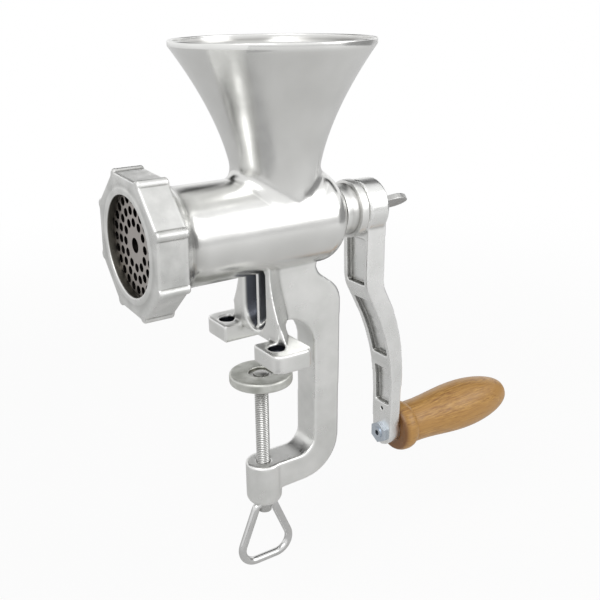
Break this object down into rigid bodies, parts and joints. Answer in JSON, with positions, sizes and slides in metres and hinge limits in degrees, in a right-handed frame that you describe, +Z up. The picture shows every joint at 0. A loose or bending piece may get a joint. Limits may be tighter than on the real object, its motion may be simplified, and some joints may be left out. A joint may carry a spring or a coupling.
{
  "type": "manual meat grinder",
  "caption": "Hand-cranked mincer with a flared hopper, perforated outlet plate behind a ring nut, C-frame table clamp and cranked arm with a turned wooden grip.",
  "frame": {"origin": "where the clamp screw's axis meets the plane of the table top under the two pads", "axes": "+Z up the clamp screw towards the hopper, +X along the barrel from the outlet towards the crank, +Y across the foot"},
  "size_m": [0.2849, 0.1124, 0.3257],
  "materials": {
    "casting": "polished casting",
    "turned_casting": "turned and tumbled",
    "arm_casting": "tumbled casting",
    "rough_casting": "as cast, mottled",
    "cut_steel": "ground",
    "steel": "plain",
    "zinc_steel": "zinc plated",
    "nylon": "plain",
    "wood": "oiled, fine grained"
  },
  "bodies": {
    "root": {"body_casting": "casting", "neck_bush": "nylon", "plate_key": "steel"},
    "plate": {"cutting_plate": "cut_steel"},
    "nut": {"ring_nut": "turned_casting"},
    "screw_line": {"feed_screw": "casting", "knife_stud": "steel", "knife": "cut_steel", "thrust_washer": "nylon"},
    "crank": {"crank_arm": "arm_casting", "grip_spindle": "steel", "spindle_nut": "zinc_steel", "grip_washer": "steel"},
    "thumb": {"thumb_screw": "zinc_steel"},
    "grip": {"grip": "wood"},
    "disc": {"pressure_disc": "rough_casting", "disc_washer": "steel"},
    "clamp": {"clamp_screw": "steel", "loop_handle": "steel"}
  },
  "joints": [
    {"name": "crank_turn", "type": "hinge", "parent": "root", "child": "screw_line", "pos_m": [0, 0, 0.075], "axis": [1, 0, 0], "continuous": true},
    {"name": "crank_draw", "type": "slide", "parent": "screw_line", "child": "crank", "axis": [1, 0, 0], "range_m": [0, 0.0075]},
    {"name": "thumb_turn", "type": "hinge", "parent": "crank", "child": "thumb", "pos_m": [0, 0, 0.075], "axis": [1, 0, 0], "range_deg": [0, 2160]},
    {"name": "grip_turn", "type": "hinge", "parent": "crank", "child": "grip", "pos_m": [0.1, 0, -0.0855], "axis": [1, 0, 0], "continuous": true},
    {"name": "plate_draw", "type": "slide", "parent": "root", "child": "plate", "axis": [-1, 0, 0], "range_m": [0, 0.006]},
    {"name": "nut_turn", "type": "hinge", "parent": "plate", "child": "nut", "pos_m": [0, 0, 0.075], "axis": [-1, 0, 0], "range_deg": [0, 720]},
    {"name": "disc_draw", "type": "slide", "parent": "root", "child": "disc", "axis": [0, 0, -1], "range_m": [0, 0.05]},
    {"name": "clamp_turn", "type": "hinge", "parent": "disc", "child": "clamp", "pos_m": [0, 0, 0], "axis": [0, 0, -1], "range_deg": [0, 7200]}
  ],
  "couplings": [
    {"joint": "thumb_turn", "follows": "crank_draw", "rad_per_m": 5026.5},
    {"joint": "plate_draw", "follows": "nut_turn", "m_per_rad": 0.00047746},
    {"joint": "clamp_turn", "follows": "disc_draw", "rad_per_m": 2513.2}
  ]
}
